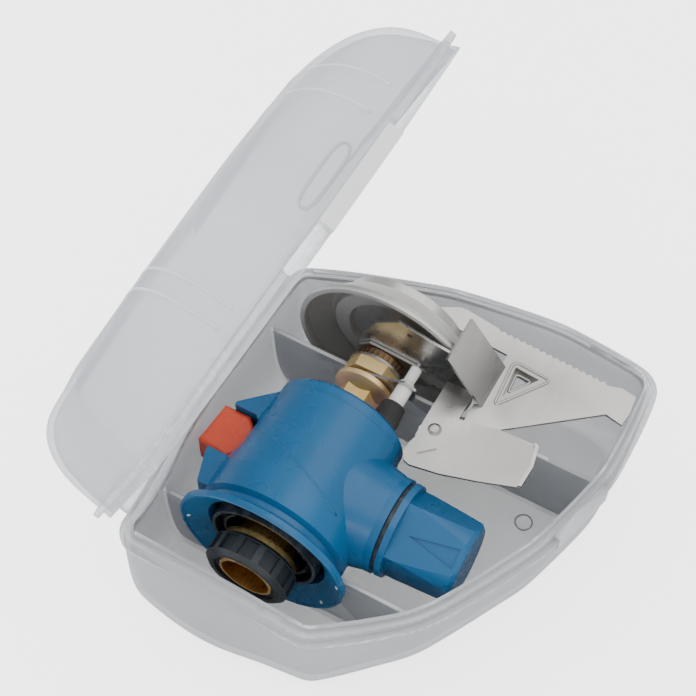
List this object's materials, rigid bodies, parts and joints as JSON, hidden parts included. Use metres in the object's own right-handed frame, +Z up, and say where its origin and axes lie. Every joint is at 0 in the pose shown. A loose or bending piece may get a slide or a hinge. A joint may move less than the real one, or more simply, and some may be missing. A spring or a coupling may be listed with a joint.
{
  "type": "cased camping gas stove",
  "caption": "Compact gas stove with valve housing, knob, piezo button, dished burner and folding pan arms, lying in an open hinged see-through carry case.",
  "frame": {"origin": "the middle of the flat underside of the case, at the mount base", "axes": "+X from the hinge to the latch, +Y along the hinge and the stove axis from the cartridge coupling to the burner, +Z up from the case underside"},
  "size_m": [0.1795, 0.1655, 0.1984],
  "materials": {
    "frosted_pp": "frosted translucent polypropylene",
    "blue_plastic": "moulded, soft sheen",
    "black_plastic": "moulded, satin",
    "red_plastic": "moulded, soft gloss",
    "brass": "machined",
    "rubber": "matte",
    "steel": "stamped stainless sheet",
    "zinc_alloy": "die cast",
    "yellow_zinc": "yellow passivated zinc plate",
    "dark_brass": "dark knurled",
    "ceramic": "white glazed ceramic"
  },
  "bodies": {
    "case": {"case_tray": "frosted_pp", "hinge_web": "frosted_pp"},
    "lid": {"case_lid": "frosted_pp"},
    "stove": {"housing": "blue_plastic", "top_cap": "blue_plastic", "knob_seal": "black_plastic", "gland_nut": "brass", "spindle_seal": "rubber", "piezo_igniter": "black_plastic", "coupling_carrier": "black_plastic", "brass_insert": "brass", "inlet_seal": "rubber", "opening_pin": "steel", "valve_body": "zinc_alloy", "lower_flange_nut": "yellow_zinc", "upper_hex_nut": "yellow_zinc", "neck_washer": "steel", "knurled_collar": "dark_brass", "burner_tube": "dark_brass", "gas_jet": "brass", "burner_dish": "steel", "burner_head": "steel", "burner_screen": "dark_brass", "lower_arm_bracket": "steel", "arm_rivet": "steel", "electrode_boot": "rubber", "electrode_ceramic": "ceramic", "electrode_wire": "steel", "electrode_clip": "steel"},
    "knob": {"knob": "blue_plastic", "valve_spindle": "brass"},
    "button": {"piezo_button": "red_plastic"},
    "lock_ring": {"lock_ring": "black_plastic"},
    "upper_arm": {"pan_arm_upper": "steel"},
    "lower_arm": {"pan_arm_lower": "steel"}
  },
  "joints": [
    {"name": "lid_hinge", "type": "hinge", "parent": "case", "child": "lid", "pos_m": [-0.0706, 0.002, 0.0542], "axis": [0, -1, 0], "range_deg": [-67, 100], "deforming": ["hinge_web"]},
    {"name": "stove_lift", "type": "slide", "parent": "case", "child": "stove", "axis": [0, 0, 1], "range_m": [0, 0.055]},
    {"name": "knob_turn", "type": "hinge", "parent": "stove", "child": "knob", "pos_m": [0.032, -0.025, 0.0464], "axis": [1, 0, 0], "range_deg": [0, 240]},
    {"name": "button_press", "type": "slide", "parent": "stove", "child": "button", "axis": [1, 0, 0], "range_m": [0, 0.0022], "stiffness_N_per_m": 900, "springref_m": -0.002},
    {"name": "lock_ring_turn", "type": "hinge", "parent": "stove", "child": "lock_ring", "pos_m": [-0.0192, -0.063, 0.0464], "axis": [0, 1, 0], "range_deg": [0, 60]},
    {"name": "upper_arm_swing", "type": "hinge", "parent": "stove", "child": "upper_arm", "pos_m": [-0.0192, 0.035, 0.0464], "axis": [0, -1, 0], "range_deg": [0, 80]},
    {"name": "lower_arm_swing", "type": "hinge", "parent": "stove", "child": "lower_arm", "pos_m": [0.0138, 0.0135, 0.0535], "axis": [0, 0, 1], "range_deg": [0, 25]}
  ]
}
